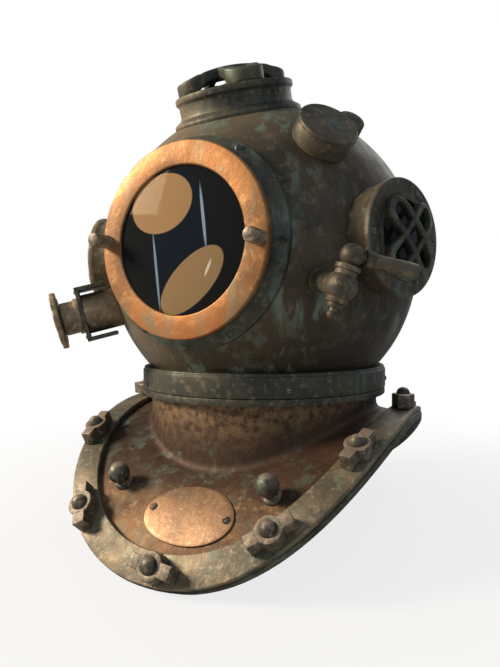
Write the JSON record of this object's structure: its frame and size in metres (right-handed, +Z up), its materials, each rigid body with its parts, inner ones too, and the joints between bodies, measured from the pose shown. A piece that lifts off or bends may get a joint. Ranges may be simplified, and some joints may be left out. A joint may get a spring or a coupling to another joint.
{
  "type": "diving helmet",
  "caption": "Copper and brass diving helmet: round bonnet with guarded windows, screw-in faceplate, telephone, spit cock and exhaust valve, on a saddle-shaped breastplate with wing nuts.",
  "frame": {"origin": "centre of the neck opening, in the plane where the bonnet's ring meets the breastplate's ring", "axes": "+Z up, -Y towards the wearer's front, +X to the wearer's left"},
  "size_m": [0.3634, 0.4265, 0.4493],
  "materials": {
    "copper": "spun copper sheet with brown and green patina",
    "copper_rust": "copper sheet with rust-coloured patina and verdigris",
    "brass_dark": "cast brass, dark green-grey patina",
    "brass_tan": "brass strip, worn tan and green",
    "brass_orange": "brass with a bright copper-coloured wipe",
    "bronze": "cast bronze, brown patina",
    "leather": "greased leather",
    "glass": "thick plate glass over a dark interior"
  },
  "bodies": {
    "breastplate": {"breastplate_shell": "copper_rust", "breastplate_neck_ring": "brass_dark", "neck_gasket": "leather", "rim_plate": "brass_dark", "braile_front_left": "brass_tan", "braile_front_right": "brass_tan", "braile_rear_left": "brass_tan", "braile_rear_right": "brass_tan", "rim_studs": "bronze", "wing_nuts": "bronze", "oval_plate": "brass_orange", "oval_plate_screws": "bronze", "weight_stud_left": "brass_dark", "weight_stud_right": "brass_dark"},
    "bonnet": {"bonnet_shell": "copper", "bonnet_neck_ring": "brass_dark", "neck_ring_screws": "bronze", "front_window_frame": "brass_dark", "front_frame_screws": "brass_dark", "side_window_frame_left": "bronze", "side_window_frame_right": "bronze", "side_glass_left": "glass", "side_glass_right": "glass", "side_gasket_left": "leather", "side_gasket_right": "leather", "side_guard_left": "brass_dark", "side_guard_right": "brass_dark", "side_window_screws": "bronze", "top_window_frame": "brass_dark", "top_glass": "glass", "top_gasket": "leather", "top_guard": "brass_dark", "telephone_housing": "bronze", "telephone_cap": "brass_dark", "telephone_receiver": "copper", "telephone_elbow": "brass_dark", "telephone_gland": "bronze", "air_inlet_elbow": "brass_dark", "air_inlet_union": "bronze", "air_valve_cage": "brass_dark", "air_duct": "copper", "spit_cock_body": "bronze", "exhaust_body": "bronze", "exhaust_guard": "brass_dark", "latch_bracket": "brass_dark", "latch_pin": "bronze"},
    "faceplate_glazing": {"front_glass": "glass", "front_glass_gasket": "leather", "front_glass_retainer": "brass_dark"},
    "faceplate_ring": {"faceplate_ring": "brass_orange", "faceplate_handles": "bronze"},
    "spit_cock": {"spit_cock_plug": "bronze", "spit_cock_lever": "bronze"},
    "exhaust_wheel": {"exhaust_hand_wheel": "bronze"},
    "exhaust_valve": {"exhaust_valve": "bronze", "exhaust_chin_button": "brass_tan"},
    "air_valve": {"air_valve_disc": "bronze"},
    "latch": {"latch_arm": "brass_tan"}
  },
  "joints": [
    {"name": "bonnet_turn", "type": "hinge", "parent": "breastplate", "child": "bonnet", "pos_m": [0, 0, 0], "axis": [0, 0, 1], "range_deg": [0, 45]},
    {"name": "faceplate_slide", "type": "slide", "parent": "bonnet", "child": "faceplate_glazing", "axis": [0, -1, 0], "range_m": [0, 0.009]},
    {"name": "faceplate_turn", "type": "hinge", "parent": "faceplate_glazing", "child": "faceplate_ring", "pos_m": [0, -0.15, 0.132], "axis": [0, -1, 0], "range_deg": [0, 1080]},
    {"name": "spit_cock_turn", "type": "hinge", "parent": "bonnet", "child": "spit_cock", "pos_m": [0.13264, -0.14475, 0.08984], "axis": [0.333, 0.057, 0.9412], "range_deg": [-90, 0]},
    {"name": "exhaust_wheel_turn", "type": "hinge", "parent": "bonnet", "child": "exhaust_wheel", "pos_m": [-0.11035, -0.10657, 0.08256], "axis": [-0.6964, -0.6725, -0.2504], "range_deg": [0, 720]},
    {"name": "exhaust_valve_slide", "type": "slide", "parent": "bonnet", "child": "exhaust_valve", "axis": [-0.6964, -0.6725, -0.2504], "range_m": [0, 0.005], "stiffness_N_per_m": 300, "springref_m": -0.006},
    {"name": "air_valve_slide", "type": "slide", "parent": "bonnet", "child": "air_valve", "axis": [0, 0, 1], "range_m": [0, 0.003]},
    {"name": "latch_swing", "type": "hinge", "parent": "bonnet", "child": "latch", "pos_m": [0.08053, 0.11084, 0.014], "axis": [-0.809, 0.5878, 0], "range_deg": [-100, 0]}
  ],
  "couplings": [
    {"joint": "faceplate_slide", "follows": "faceplate_turn", "m_per_rad": 0.00047746}
  ]
}
